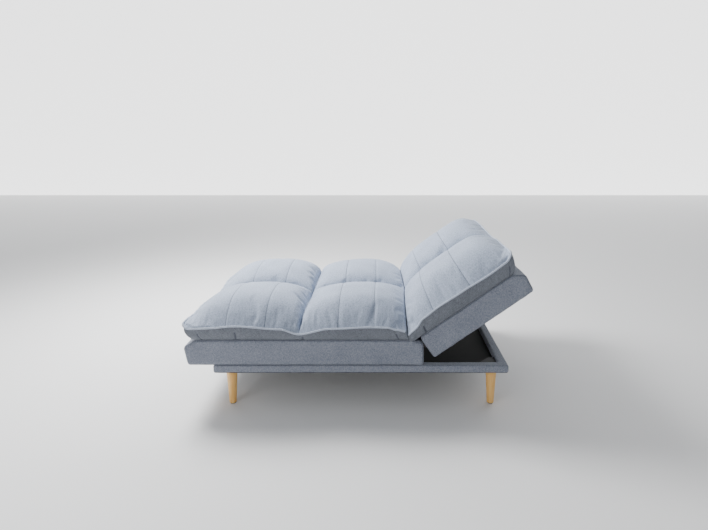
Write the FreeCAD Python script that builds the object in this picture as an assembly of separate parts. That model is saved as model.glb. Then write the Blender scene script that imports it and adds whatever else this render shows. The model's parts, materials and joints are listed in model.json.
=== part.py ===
"""Futon sofa bed: a low upholstered base on four turned legs, a long fixed seat panel, a backrest that
folds on two ratchet hinges, and overstuffed pillow tops with piped edges. Lengths in mm, angles in degrees.

X runs across the sofa bed, -Y is the foot end of the seat and +Z is up. Everything is laid out with the hinge
axis at y = 0, and the whole model is then moved so that the origin is below the middle of its box.
Backrest parts are made lying flat, as in the bed, and tipped up about the hinge axis at the end."""

import FreeCAD
import Part
import math
import os

V = FreeCAD.Vector

# ---- overall sizes
WIDTH = 1120.0  # across the two upholstered panels
SEAT_LENGTH = 1252.0  # foot end to hinge end of the seat panel
BACK_LENGTH = 627.0  # hinge end to free end of the backrest panel
PANEL_THICK = 139.0  # seat and backrest panels, without their pillow tops
BASE_LENGTH = 1550.0
BASE_REAR = 475.0  # base's rear end, behind the hinge axis
LEG_HEIGHT = 200.0
BACK_TILT = 35.5  # backrest above the flat bed position, as stored
RATCHET_STOPS = (0.0, 35.5, 57.5, 77.5)  # bed, lounge, recline and sofa positions

# ---- legs
LEG_TOP_R = 30.0
LEG_FOOT_R = 19.0
LEG_FOOT_CHAMFER = 2.5
LEG_INSET = 76.0  # leg axis from the two outer faces of the base
GLIDE_R = 15.0
GLIDE_THICK = 4.0
GLIDE_CHAMFER = 1.0
HANGER_BOLT_R = 4.0
HANGER_IN_LEG = 42.0
HANGER_IN_BLOCK = 18.0

# ---- base frame
BASE_DECK_THICK = 2.0  # black lined board stapled under the base
DECK_INSET = 6.0
BASE_HEIGHT = 40.0  # upholstered rail, without the board
BASE_WALL_WIDTH = 46.0  # upholstered rail seen from above
BASE_COVER_THICK = 3.0  # fabric on thin wadding
BASE_COVER_RETURN = 15.0  # how far the cover is turned under the rail
CORNER_BLOCK_SIDE = 95.0
CORNER_BLOCK_THICK = 22.0
CROSS_RAIL_WIDTH = 40.0
CROSS_RAIL_FROM_AXIS = 420.0  # in front of the hinge axis

# ---- panels
COVER_THICK = 2.0
COVER_RETURN = 25.0
SIDE_PAD = 10.0  # foam on the sides and ends of the wooden frame
RAIL_THICK = 24.0
RAIL_DEPTH = 90.0
DUST_CLOTH_THICK = 1.5
CLOTH_GAP = 2.0
FELT_THICK = 3.0
SEAT_FRONT_LEAN = 16.0  # the foot end's lower edge is set back this far
SEAT_FRONT_CHAMFER = (62.0, 39.0)  # length along the seat, and height
SEAT_FRONT_PAD = 12.0
BACK_END_LEAN = 5.0
BACK_END_CHAMFER = (51.0, 44.0)
BACK_CORNER_R = 19.0

# ---- hinge axis
AXIS_BELOW_TOP = 38.0
SEAT_TAIL = 29.0  # seat panel beyond the axis, and the radius of its rounded end
BACK_GAP = 33.0  # backrest panel starts this far from the axis
BED_CLEAR = 1.5  # between the lowered backrest and the base
NOSE_FROM_DEG = 105.0  # where the rounded end meets the seat's top, from +Y
NOSE_RAMP = 28.0  # the top starts to fall this far in front of the axis

# ---- springs under the upholstery
SPRING_WIRE_R = 1.9
SPRING_BEND_R = 16.0
SPRING_HALF_WIDTH = 26.0
SPRINGS_PER_BAY = 5
SPRING_CLEAR = 0.2
CLIP_SIZE = (24.0, 16.0, 6.0)

# ---- pillow tops
PILLOW_SEAM_HEIGHT = 66.0  # piped seam above the panel
PILLOW_CROWN_HEIGHT = 185.0
PILLOW_SEAM_OVERHANG = 8.0  # seam beyond the panel's sides
PILLOW_FOOT_INSET = 8.0  # lower edge inside the panel's sides
PILLOW_CROWN_INSET = 105.0
PILLOW_END_CROWN_INSET = 80.0  # at the backrest's free end, which is blunter
SEAT_PILLOW_OVERHANG = 4.0  # seam beyond the seat's foot end
BACK_PILLOW_OVERHANG = 14.0  # seam beyond the backrest's free end
PILLOW_END_FOOT = 50.0  # lower edge inside that seam
SEAT_PILLOW_SPLIT = 620.0  # crease between the seat's two rows, in front of the axis
PILLOW_FOLD_CLEAR_DEG = 1.5
PIPING_R = 4.0

# ---- hinge
PLATE_THICK = 3.0
ARM_THICK = 4.0
HINGE_SIDE_CLEAR = 0.5
PIVOT_PIN_R = 5.0
RUNNING_CLEAR = 0.05
FIT_CLEAR = 0.02
PIN_HEAD_R = 9.0
PIN_HEAD_THICK = 3.0
PLATE_HUB_R = 24.0
ARM_HUB_R = 26.0
NOTCH_DEPTH = 3.5
NOTCH_WIDTH = 6.0
PAWL_AT_DEG = 200.0  # direction of the pawl's tooth from the axis
PAWL_LEVER = 42.0
PAWL_OUT = 33.0
PAWL_HUB_R = 8.0
PAWL_PIN_R = 3.5
PAWL_BODY = (30.0, 37.0)  # nearest and furthest from the axis, along the tooth
PAWL_TOOTH_HALF = 2.2
PAWL_TOOTH_CLEAR = 0.6
PAWL_TRAVEL_DEG = 4.0
SPRING_LEAF_THICK = 1.0
PLATE_BOLT_R = 3.0
BOLT_HEAD_R = 6.0
BOSS_R = 9.0  # pressed round each bolt hole, to keep the two plates apart
BOLT_HEAD_THICK = 4.0
BOLT_BITE = 21.0  # bolt in the wooden rail
SEAT_BOLTS = ((-140.0, -36.0), (-140.0, -62.0), (-80.0, -50.0))  # from the axis, along Y and Z
BACK_BOLTS = ((90.0, -50.0), (150.0, -38.0), (200.0, -62.0))
ARM_PAD = (62.0, 218.0, -76.0, -24.0)  # arm's face against the backrest's rail
PLATE_OUTLINE = ((-165.0, -24.0), (-30.0, -13.0), (0.0, 0.0), (14.0, -30.0), (-2.0, -66.0), (-165.0, -76.0))
ARM_OUTLINE = ((0.0, 14.0), (40.0, 4.0), (80.0, -24.0), (218.0, -24.0), (218.0, -76.0), (62.0, -76.0), (8.9, -24.0))
SLOT_MARGIN = 3.0

# ---- bolts that hold the seat panel on the base
FIXING_BOLT_R = 4.0
FIXING_HEAD_R = 8.0
FIXING_HEAD_THICK = 5.5
FIXING_BITE = 45.0
FIXING_FROM_AXIS = (180.0, 560.0, 940.0)

# ---- levels and faces that follow from the sizes above
BASE_BOTTOM = GLIDE_THICK + LEG_HEIGHT
COVER_BOTTOM = BASE_BOTTOM + BASE_DECK_THICK
BASE_TOP = COVER_BOTTOM + BASE_HEIGHT
PANEL_TOP = BASE_TOP + PANEL_THICK
AXIS_Z = PANEL_TOP - AXIS_BELOW_TOP
BACK_BOTTOM = BASE_TOP + BED_CLEAR
RAIL_TOP = BASE_TOP + COVER_THICK + RAIL_DEPTH
WIRE_Z = RAIL_TOP + SPRING_WIRE_R + SPRING_CLEAR
FELT_BOTTOM = RAIL_TOP + CLIP_SIZE[2] + SPRING_CLEAR
FELT_TOP = FELT_BOTTOM + FELT_THICK
HALF = WIDTH / 2
RAIL_OUT = HALF - COVER_THICK - SIDE_PAD
RAIL_IN = RAIL_OUT - RAIL_THICK
SEAT_FRONT = SEAT_TAIL - SEAT_LENGTH
BACK_END = BACK_GAP + BACK_LENGTH
BASE_FRONT = BASE_REAR - BASE_LENGTH
SEAT_FRAME = (SEAT_FRONT + SEAT_FRONT_LEAN + SEAT_FRONT_PAD, SEAT_TAIL - COVER_THICK - SIDE_PAD)
BACK_FRAME = (BACK_GAP + COVER_THICK + SIDE_PAD, BACK_END - COVER_THICK - SIDE_PAD)
OUTER_PLATE = (RAIL_IN - PLATE_THICK, RAIL_IN)
ARM_LAYER = (OUTER_PLATE[0] - HINGE_SIDE_CLEAR - ARM_THICK, OUTER_PLATE[0] - HINGE_SIDE_CLEAR)
INNER_PLATE = (ARM_LAYER[0] - HINGE_SIDE_CLEAR - PLATE_THICK, ARM_LAYER[0] - HINGE_SIDE_CLEAR)
HINGE_SLOT = (INNER_PLATE[0] - PIN_HEAD_THICK - SLOT_MARGIN, RAIL_IN)
FULL_TILT = max(RATCHET_STOPS)

parts = {}


def box(x, y, z):
    """Box between the pairs x, y and z."""
    return Part.makeBox(x[1] - x[0], y[1] - y[0], z[1] - z[0], V(x[0], y[0], z[0]))


def mirrored(shape):
    """The shape on the other side of the middle plane."""
    return shape.mirror(V(0, 0, 0), V(1, 0, 0))


def both(shape):
    """The shape and its mirror image, as two solids."""
    return Part.makeCompound([shape, mirrored(shape)])


def rod(radius, start, end):
    """Round bar between two points."""
    along = end.sub(start)
    return Part.makeCylinder(radius, along.Length, start, along)


def ring(y, z):
    """Point beside the hinge axis."""
    return V(0, y, AXIS_Z + z)


def polygon(points):
    """Closed wire in the YZ plane through (y, z) pairs."""
    return Part.makePolygon([V(0, y, z) for y, z in points] + [V(0, *points[0])])


def extruded(wire, x):
    """Solid from a closed YZ wire, between the pair x."""
    face = Part.Face(wire)
    face.translate(V(x[0], 0, 0))
    return face.extrude(V(x[1] - x[0], 0, 0))


def joined(first, *others):
    """One solid from several that touch or overlap."""
    return first.multiFuse(list(others)).removeSplitter()


def without(shape, *cutters):
    """The shape with each cutter removed."""
    for cutter in cutters:
        shape = shape.cut(cutter)
    return shape


# ---------------------------------------------------------------- panels


def seat_outline():
    """Side outline of the seat panel: leaning foot end, chamfer, flat top and an end rounded about the axis."""
    run, rise = SEAT_FRONT_CHAMFER
    start = math.radians(NOSE_FROM_DEG)
    nose_top = ring(SEAT_TAIL * math.cos(start), SEAT_TAIL * math.sin(start))
    middle = ring(SEAT_TAIL * math.cos(start / 2), SEAT_TAIL * math.sin(start / 2))
    corners = [
        ring(SEAT_TAIL, 0),
        V(0, SEAT_TAIL, BASE_TOP),
        V(0, SEAT_FRONT + SEAT_FRONT_LEAN, BASE_TOP),
        V(0, SEAT_FRONT, PANEL_TOP - rise),
        V(0, SEAT_FRONT + run, PANEL_TOP),
        V(0, -NOSE_RAMP, PANEL_TOP),
        nose_top,
    ]
    edges = [Part.makeLine(a, b) for a, b in zip(corners, corners[1:])]
    return Part.Wire(edges + [Part.Arc(nose_top, middle, ring(SEAT_TAIL, 0)).toShape()])


def back_outline():
    """Side outline of the backrest panel lying flat: square hinge end, chamfered free end."""
    run, rise = BACK_END_CHAMFER
    turn = BACK_CORNER_R * (1 - math.sqrt(0.5))
    low, high = V(0, BACK_GAP, PANEL_TOP - BACK_CORNER_R), V(0, BACK_GAP + BACK_CORNER_R, PANEL_TOP)
    corners = [
        high,
        V(0, BACK_END + BACK_END_LEAN - run, PANEL_TOP),
        V(0, BACK_END + BACK_END_LEAN, PANEL_TOP - rise),
        V(0, BACK_END, BACK_BOTTOM),
        V(0, BACK_GAP, BACK_BOTTOM),
        low,
    ]
    edges = [Part.makeLine(a, b) for a, b in zip(corners, corners[1:])]
    return Part.Wire(edges + [Part.Arc(low, V(0, BACK_GAP + turn, PANEL_TOP - turn), high).toShape()])


def frame_box(frame, x, z):
    """Space inside or above a panel's wooden frame."""
    return box((-x, x), frame, z)


def foam(outline, frame):
    """Foam cap: a slab on the felt, with a skirt round the wooden frame."""
    inner = outline.makeOffset2D(-COVER_THICK, 2)
    cap = extruded(inner, (COVER_THICK - HALF, HALF - COVER_THICK))
    return cap.cut(frame_box(frame, RAIL_OUT, (BASE_TOP - 1, FELT_TOP)))


def cover(outline, frame, bottom):
    """Fabric cover: over the foam and turned in under the frame, with the middle of its underside open."""
    inner = outline.makeOffset2D(-COVER_THICK, 2)
    shell = extruded(outline, (-HALF, HALF)).cut(extruded(inner, (COVER_THICK - HALF, HALF - COVER_THICK)))
    opening = (frame[0] - SIDE_PAD + COVER_RETURN, frame[1] + SIDE_PAD - COVER_RETURN)
    reach = HALF - COVER_THICK - COVER_RETURN
    return shell.cut(frame_box(opening, reach, (bottom - 1, bottom + COVER_THICK)))


def side_slot(y, z):
    """Room for one hinge beside a panel's rail."""
    return box(HINGE_SLOT, y, z)


def side_rail(frame, bottom):
    """Wooden rail along one side of a panel."""
    return box((RAIL_IN, RAIL_OUT), frame, (bottom + COVER_THICK, RAIL_TOP))


def cross_rail(start, bottom):
    """Wooden rail across a panel, between its side rails."""
    return box((-RAIL_IN, RAIL_IN), (start, start + RAIL_THICK), (bottom + COVER_THICK, RAIL_TOP))


def notched(rail, y):
    """Cross rail with room at its ends for the hinges."""
    slot = side_slot((y[0] - 1, y[1] + 1), (AXIS_Z + ARM_PAD[2] - SLOT_MARGIN, PANEL_TOP))
    return without(rail, slot, mirrored(slot))


def felt(frame):
    """Felt pad between springs and foam."""
    return frame_box(frame, RAIL_OUT, (FELT_BOTTOM, FELT_TOP))


def underside(frame, bottom):
    """Cloth stapled under a panel, inside the edge of its cover."""
    reach = HALF - COVER_THICK - COVER_RETURN - CLOTH_GAP
    inset = COVER_RETURN - SIDE_PAD + CLOTH_GAP
    top = bottom + COVER_THICK
    return frame_box((frame[0] + inset, frame[1] - inset), reach, (top - DUST_CLOTH_THICK, top))


def zigzag(x, start, end):
    """One sinuous spring: round wire bent from side to side, running along Y at a given x."""
    turns = int((end - start) // (2 * SPRING_BEND_R))
    bend = (end - start) / turns / 2
    reach = SPRING_HALF_WIDTH - bend
    at, side, edges = start, 1, []
    edges.append(Part.makeLine(V(x - CLIP_SIZE[0] / 2, at, WIRE_Z), V(x + reach, at, WIRE_Z)))
    for turn in range(turns):
        a, c = V(x + side * reach, at, WIRE_Z), V(x + side * reach, at + 2 * bend, WIRE_Z)
        edges.append(Part.Arc(a, V(x + side * (reach + bend), at + bend, WIRE_Z), c).toShape())
        at += 2 * bend
        far = x - side * reach if turn < turns - 1 else x - side * CLIP_SIZE[0] / 2
        edges.append(Part.makeLine(c, V(far, at, WIRE_Z)))
        side = -side
    path = Part.Wire(edges)
    first = V(x - CLIP_SIZE[0] / 2, start, WIRE_Z)
    section = Part.Wire([Part.makeCircle(SPRING_WIRE_R, first, V(1, 0, 0))])
    return path.makePipeShell([section], True, False)


def spring_places():
    """Positions of the springs across a panel."""
    step = 2 * RAIL_IN / (SPRINGS_PER_BAY + 1)
    return [step * (k + 1) - RAIL_IN for k in range(SPRINGS_PER_BAY)]


def springs(bays):
    """Rows of springs, one row for each pair of rails."""
    return Part.makeCompound([zigzag(x, *bay) for bay in bays for x in spring_places()])


def clips(bays):
    """A clip over each end of each spring."""
    made = []
    w, d, h = CLIP_SIZE
    for y in [y for bay in bays for y in bay]:
        for x in spring_places():
            block = box((x - w / 2, x + w / 2), (y - d / 2, y + d / 2), (RAIL_TOP, RAIL_TOP + h))
            r = SPRING_WIRE_R + SPRING_CLEAR
            groove = rod(r, V(x - w, y, WIRE_Z), V(x + w, y, WIRE_Z))
            mouth = box((x - w, x + w), (y - r, y + r), (RAIL_TOP - 1, WIRE_Z))
            made.append(without(block, groove, mouth))
    return Part.makeCompound(made)


# ---------------------------------------------------------------- pillow tops


def rectangle(x, y, z):
    """Closed level wire between the pairs x and y."""
    return Part.makePolygon([V(x[a], y[b], z) for a, b in ((0, 0), (1, 0), (1, 1), (0, 1), (0, 0))])


def pillow(x, y, inset_x, inset_y, end_crown=PILLOW_CROWN_INSET):
    """One pillow: lower edge, piped seam and flatter crown. inset_x and inset_y are the lower edge's insets."""
    crown = PILLOW_CROWN_INSET
    levels = [
        rectangle((x[0] + inset_x[0], x[1] - inset_x[1]), (y[0] + inset_y[0], y[1] - inset_y[1]), PANEL_TOP),
        rectangle(x, y, PANEL_TOP + PILLOW_SEAM_HEIGHT),
        rectangle((x[0] + crown, x[1] - crown), (y[0] + crown, y[1] - end_crown), PANEL_TOP + PILLOW_CROWN_HEIGHT),
    ]
    lower = Part.makeLoft(levels[:2], True, True)
    return joined(lower, Part.makeLoft(levels[1:], True, True))


def fold_wedge(direction):
    """Space kept free beside the hinge axis, so that the pillow tops clear each other in the sofa position."""
    lean = math.radians(90 + direction * (FULL_TILT / 2 + PILLOW_FOLD_CLEAR_DEG))
    far = 3 * PILLOW_CROWN_HEIGHT + PANEL_THICK
    edge = ring(far * math.cos(lean), far * math.sin(lean))
    side = direction * far
    wedge = polygon([(0, AXIS_Z), (edge.y, edge.z), (edge.y + side, edge.z), (side, AXIS_Z)])
    return extruded(wedge, (-WIDTH, WIDTH))


def piping(y_open, y_end, direction):
    """Welt cord beside the seam: along both sides and across the free end, with rounded corners."""
    out = HALF + PILLOW_SEAM_OVERHANG + PIPING_R
    z = PANEL_TOP + PILLOW_SEAM_HEIGHT
    end = y_end + direction * PIPING_R
    corner = V(out, end, z)
    side = rod(PIPING_R, V(out, y_open, z), corner)
    ball = Part.makeSphere(PIPING_R, corner)
    across = rod(PIPING_R, corner, V(-out, end, z))
    return joined(across, side, ball, mirrored(side), mirrored(ball))


# ---------------------------------------------------------------- hinges


def pawl_point(out, down):
    """Point in the pawl's own directions: out along its tooth from the axis, and down along its lever."""
    a = math.radians(PAWL_AT_DEG)
    return (out * math.cos(a) - down * math.sin(a), out * math.sin(a) + down * math.cos(a))


def drilled(radius, y, z, x):
    """Round hole or bar across the hinge, at a place given from the axis."""
    return rod(radius, V(x[0], y, AXIS_Z + z), V(x[1], y, AXIS_Z + z))


def hinge_polygon(points, x):
    """Plate with a straight-sided outline given from the axis."""
    return extruded(polygon([(y, AXIS_Z + z) for y, z in points]), x)


def casing_plate(layer, raised):
    """Side plate of a hinge, bolted to the seat's rail. Its bolt bosses fill the pair raised."""
    bosses = [drilled(BOSS_R, y, z, raised) for y, z in SEAT_BOLTS]
    plate = joined(hinge_polygon(PLATE_OUTLINE, layer), drilled(PLATE_HUB_R, 0, 0, layer), *bosses)
    wide = (layer[0] - 1, raised[1] + 1)
    holes = [drilled(PIVOT_PIN_R + FIT_CLEAR, 0, 0, wide)]
    holes.append(drilled(PAWL_PIN_R + FIT_CLEAR, *pawl_point(PAWL_OUT, PAWL_LEVER), wide))
    holes += [drilled(PLATE_BOLT_R + FIT_CLEAR, y, z, wide) for y, z in SEAT_BOLTS]
    return without(plate, *holes)


def hinge_arm():
    """Backrest's arm: a notched hub on the pivot pin, and a pad bolted to the backrest's rail."""
    arm = joined(hinge_polygon(ARM_OUTLINE, ARM_LAYER), drilled(ARM_HUB_R, 0, 0, ARM_LAYER))
    u0, u1, w0, w1 = ARM_PAD
    pad = box((ARM_LAYER[1], RAIL_IN), (u0, u1), (AXIS_Z + w0, AXIS_Z + w1))
    arm = joined(arm, pad)
    wide = (ARM_LAYER[0] - 1, RAIL_IN + 1)
    cuts = [drilled(PIVOT_PIN_R + RUNNING_CLEAR, 0, 0, wide)]
    cuts += [drilled(PLATE_BOLT_R + FIT_CLEAR, y, z, wide) for y, z in BACK_BOLTS]
    for stop in RATCHET_STOPS:
        reach = (ARM_HUB_R - NOTCH_DEPTH, ARM_HUB_R + NOTCH_DEPTH)
        notch = box(wide, reach, (-NOTCH_WIDTH / 2, NOTCH_WIDTH / 2))
        notch.rotate(V(0, 0, 0), V(1, 0, 0), PAWL_AT_DEG - stop)
        notch.translate(V(0, 0, AXIS_Z))
        cuts.append(notch)
    return without(arm, *cuts)


def pawl():
    """Pawl of one hinge, with its tooth just clear of the hub."""
    near, far = PAWL_BODY
    t = PAWL_TOOTH_HALF
    tip = ARM_HUB_R + PAWL_TOOTH_CLEAR
    body = [(near, -3 * t), (near, PAWL_LEVER), (far, PAWL_LEVER), (far, -3 * t)]
    tooth = [(tip, -t), (tip, t), (near + 1, t), (near + 1, -t)]
    lever = hinge_polygon([pawl_point(*p) for p in body], ARM_LAYER)
    tooth = hinge_polygon([pawl_point(*p) for p in tooth], ARM_LAYER)
    centre = pawl_point(PAWL_OUT, PAWL_LEVER)
    hub = drilled(PAWL_HUB_R, *centre, ARM_LAYER)
    bore = drilled(PAWL_PIN_R + RUNNING_CLEAR, *centre, (ARM_LAYER[0] - 1, ARM_LAYER[1] + 1))
    return joined(lever, tooth, hub).cut(bore)


def pawl_spring():
    """Leaf spring behind the pawl, on its own rivet."""
    near, t = PAWL_BODY[1] + 0.4, SPRING_LEAF_THICK
    foot = (PAWL_BODY[1] + PAWL_HUB_R + 2, PAWL_LEVER - PAWL_HUB_R)
    leaf = [(near, -4.0), (near + t, -4.0), (foot[0] + t, foot[1]), (foot[0], foot[1])]
    strip = hinge_polygon([pawl_point(*p) for p in leaf], ARM_LAYER)
    return joined(strip, drilled(PAWL_PIN_R, *pawl_point(*foot), ARM_LAYER))


def pin(radius, y, z):
    """Headed pin through both plates of one hinge."""
    shank = drilled(radius, y, z, (INNER_PLATE[0], RAIL_IN))
    return joined(shank, drilled(radius + 4, y, z, (INNER_PLATE[0] - PIN_HEAD_THICK, INNER_PLATE[0])))


def plate_bolts(places, seat_face):
    """Bolts through a hinge into a rail, with heads on the face at seat_face."""
    made = []
    for y, z in places:
        shank = drilled(PLATE_BOLT_R, y, z, (seat_face, RAIL_IN + BOLT_BITE))
        made.append(joined(shank, drilled(BOLT_HEAD_R, y, z, (seat_face - BOLT_HEAD_THICK, seat_face))))
    return Part.makeCompound(made + [mirrored(b) for b in made])


def bolt_holes(places):
    """Holes for those bolts in one rail."""
    return [drilled(PLATE_BOLT_R + FIT_CLEAR, y, z, (RAIL_IN - 1, RAIL_IN + BOLT_BITE)) for y, z in places]


# ---------------------------------------------------------------- base and legs


def leg_places():
    """Leg axes, named."""
    x = HALF - LEG_INSET
    y = {"front": BASE_FRONT + LEG_INSET, "rear": BASE_REAR - LEG_INSET}
    return {f"leg_{row}_{side}": (s * x, y[row]) for row in y for side, s in (("left", -1), ("right", 1))}


def leg(x, y):
    """Turned and tapered leg, drilled for its hanger bolt."""
    cone = Part.makeCone(LEG_FOOT_R, LEG_TOP_R, LEG_HEIGHT, V(x, y, GLIDE_THICK), V(0, 0, 1))
    foot = [e for e in cone.Edges if e.BoundBox.ZMax < GLIDE_THICK + 1]
    hole = rod(HANGER_BOLT_R + FIT_CLEAR, V(x, y, BASE_BOTTOM - HANGER_IN_LEG), V(x, y, BASE_BOTTOM + 1))
    return cone.makeChamfer(LEG_FOOT_CHAMFER, foot).cut(hole)


def glide(x, y):
    """Hard plastic glide under a leg."""
    disc = rod(GLIDE_R, V(x, y, 0), V(x, y, GLIDE_THICK))
    rim = [e for e in disc.Edges if e.BoundBox.ZMax < GLIDE_THICK / 2]
    return disc.makeChamfer(GLIDE_CHAMFER, rim)


def hanger_bolt(x, y):
    """Bolt that joins a leg to its corner block."""
    return rod(HANGER_BOLT_R, V(x, y, BASE_BOTTOM - HANGER_IN_LEG), V(x, y, COVER_BOTTOM + HANGER_IN_BLOCK))


def bolt_passage(x, y):
    """Hole for a hanger bolt above the leg."""
    top = COVER_BOTTOM + HANGER_IN_BLOCK
    return rod(HANGER_BOLT_R + FIT_CLEAR, V(x, y, BASE_BOTTOM - 1), V(x, y, top))


def corner_block(x, y):
    """Three-cornered wooden block inside a corner of the base."""
    sx, sy = (1 if x > 0 else -1), (1 if y > 0 else -1)
    corner_x = sx * (HALF - BASE_WALL_WIDTH)
    corner_y = (BASE_REAR - BASE_WALL_WIDTH) if y > 0 else (BASE_FRONT + BASE_WALL_WIDTH)
    s = CORNER_BLOCK_SIDE
    points = [(0, 0), (s, 0), (s, s / 3), (s / 3, s), (0, s)]
    wire = Part.makePolygon([V(corner_x - sx * a, corner_y - sy * b, COVER_BOTTOM) for a, b in points + points[:1]])
    return Part.Face(wire).extrude(V(0, 0, CORNER_BLOCK_THICK)).cut(bolt_passage(x, y))


def base_ring(inset, z):
    """Closed rectangular frame between the base's outside and inside faces, both moved in by inset."""
    outer = box((inset - HALF, HALF - inset), (BASE_FRONT + inset, BASE_REAR - inset), z)
    reach = HALF - BASE_WALL_WIDTH + inset
    hole_y = (BASE_FRONT + BASE_WALL_WIDTH - inset, BASE_REAR - BASE_WALL_WIDTH + inset)
    return outer.cut(box((-reach, reach), hole_y, (z[0] - 1, z[1] + 1)))


def base_cover():
    """Whole cover of the base frame: outside, top, inside and a turned-in lower edge."""
    t = BASE_COVER_THICK
    whole = base_ring(0, (COVER_BOTTOM, BASE_TOP))
    wood = base_ring(t, (COVER_BOTTOM + t, BASE_TOP - t))
    strip = base_ring(t + BASE_COVER_RETURN, (COVER_BOTTOM - 1, COVER_BOTTOM + t))
    return without(whole, wood, strip)


def mitre(side):
    """Space of one side of the base, out to the mitred corners."""
    reach = HALF + 1
    front, rear = BASE_FRONT - 1, BASE_REAR + 1
    near = {"left": (-reach, front, -reach, rear), "right": (reach, front, reach, rear)}
    near.update({"front": (-reach, front, reach, front), "rear": (-reach, rear, reach, rear)})
    x0, y0, x1, y1 = near[side]
    depth = 2 * BASE_WALL_WIDTH
    dx0, dx1 = (-depth if x0 > 0 else depth), (-depth if x1 > 0 else depth)
    dy0, dy1 = (-depth if y0 == rear else depth), (-depth if y1 == rear else depth)
    points = [(x0, y0), (x1, y1), (x1 + dx1, y1 + dy1), (x0 + dx0, y0 + dy0), (x0, y0)]
    wire = Part.makePolygon([V(x, y, 0) for x, y in points])
    return Part.Face(wire).extrude(V(0, 0, BASE_TOP + 1))


def fixing_places():
    """Bolts that hold the seat panel on the base."""
    x = (RAIL_IN + RAIL_OUT) / 2
    return [(s * x, -y) for s in (-1, 1) for y in FIXING_FROM_AXIS]


def fixing_bolt(x, y):
    """Hexagon bolt from inside the base rail up into the seat's rail."""
    low = COVER_BOTTOM + BASE_COVER_THICK
    turns = [math.radians(60 * k) for k in range(7)]
    corners = [V(x + FIXING_HEAD_R * math.cos(a), y + FIXING_HEAD_R * math.sin(a), low) for a in turns]
    head = Part.Face(Part.makePolygon(corners)).extrude(V(0, 0, FIXING_HEAD_THICK))
    return joined(head, rod(FIXING_BOLT_R, V(x, y, low), V(x, y, BASE_TOP + FIXING_BITE)))


def fixing_passage(x, y):
    """Hole for a fixing bolt, with a counterbore for its head."""
    low = COVER_BOTTOM + BASE_COVER_THICK
    shank = rod(FIXING_BOLT_R + FIT_CLEAR, V(x, y, low - 1), V(x, y, BASE_TOP + FIXING_BITE))
    bore = rod(FIXING_HEAD_R + 1, V(x, y, low - 1), V(x, y, low + FIXING_HEAD_THICK))
    return joined(shank, bore)


def make_base():
    """Base frame, its covers, lined board, legs and their fittings."""
    t = BASE_COVER_THICK
    wood = base_ring(t, (COVER_BOTTOM + t, BASE_TOP - t))
    inside = HALF - BASE_WALL_WIDTH + t
    passages = [fixing_passage(*p) for p in fixing_places()]
    for side, x in (("left", (-HALF, -inside)), ("right", (inside, HALF))):
        rail = wood.common(box(x, (BASE_FRONT, BASE_REAR), (0, BASE_TOP)))
        parts[f"base_rail_{side}"] = without(rail, *passages)
    ends = {"front": (BASE_FRONT, BASE_FRONT + BASE_WALL_WIDTH), "rear": (BASE_REAR - BASE_WALL_WIDTH, BASE_REAR)}
    for side, y in ends.items():
        parts[f"base_rail_{side}"] = wood.common(box((-inside, inside), y, (0, BASE_TOP)))
    whole = base_cover()
    for side in ("left", "right", "front", "rear"):
        parts[f"base_cover_{side}"] = without(whole.common(mitre(side)), *passages)
    clear = HALF - BASE_WALL_WIDTH
    middle = -CROSS_RAIL_FROM_AXIS
    cross_y = (middle - CROSS_RAIL_WIDTH / 2, middle + CROSS_RAIL_WIDTH / 2)
    parts["base_cross_rail"] = box((-clear, clear), cross_y, (COVER_BOTTOM, BASE_TOP - t))
    deck_y = (BASE_FRONT + DECK_INSET, BASE_REAR - DECK_INSET)
    deck = box((DECK_INSET - HALF, HALF - DECK_INSET), deck_y, (BASE_BOTTOM, COVER_BOTTOM))
    places = leg_places()
    parts["base_deck"] = without(deck, *[bolt_passage(*p) for p in places.values()])
    for name, place in places.items():
        parts[name] = leg(*place)
    parts["leg_glides"] = Part.makeCompound([glide(*p) for p in places.values()])
    parts["leg_hanger_bolts"] = Part.makeCompound([hanger_bolt(*p) for p in places.values()])
    parts["corner_blocks"] = Part.makeCompound([corner_block(*p) for p in places.values()])
    parts["seat_fixing_bolts"] = Part.makeCompound([fixing_bolt(*p) for p in fixing_places()])


def make_seat():
    """Seat panel: frame, springs, felt, foam, cover and dust cloth."""
    start, end = SEAT_FRAME
    passages = [fixing_passage(*p) for p in fixing_places()]
    rail = without(side_rail(SEAT_FRAME, BASE_TOP), *passages, *bolt_holes(SEAT_BOLTS))
    parts["seat_rail_right"] = rail
    parts["seat_rail_left"] = mirrored(rail)
    middle = (start + end - RAIL_THICK) / 2
    rear = end - RAIL_THICK
    parts["seat_rail_front"] = cross_rail(start, BASE_TOP)
    parts["seat_rail_middle"] = cross_rail(middle, BASE_TOP)
    parts["seat_rail_rear"] = notched(cross_rail(rear, BASE_TOP), (rear, end))
    half = RAIL_THICK / 2
    quarter = RAIL_THICK / 4 + CLIP_SIZE[1] / 4
    bays = [(start + half, middle + half - quarter), (middle + half + quarter, end - half)]
    parts["seat_springs"] = springs(bays)
    parts["seat_spring_clips"] = clips(bays)
    slot = side_slot((-ARM_HUB_R - 2 * SLOT_MARGIN, SEAT_TAIL + 1), (BASE_TOP - 1, PANEL_TOP + 1))
    slots = (slot, mirrored(slot))
    parts["seat_felt"] = without(felt(SEAT_FRAME), *slots)
    parts["seat_foam"] = without(foam(seat_outline(), SEAT_FRAME), *slots)
    parts["seat_cover"] = without(cover(seat_outline(), SEAT_FRAME, BASE_TOP), *slots, *passages)
    parts["seat_dust_cloth"] = underside(SEAT_FRAME, BASE_TOP)


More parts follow.
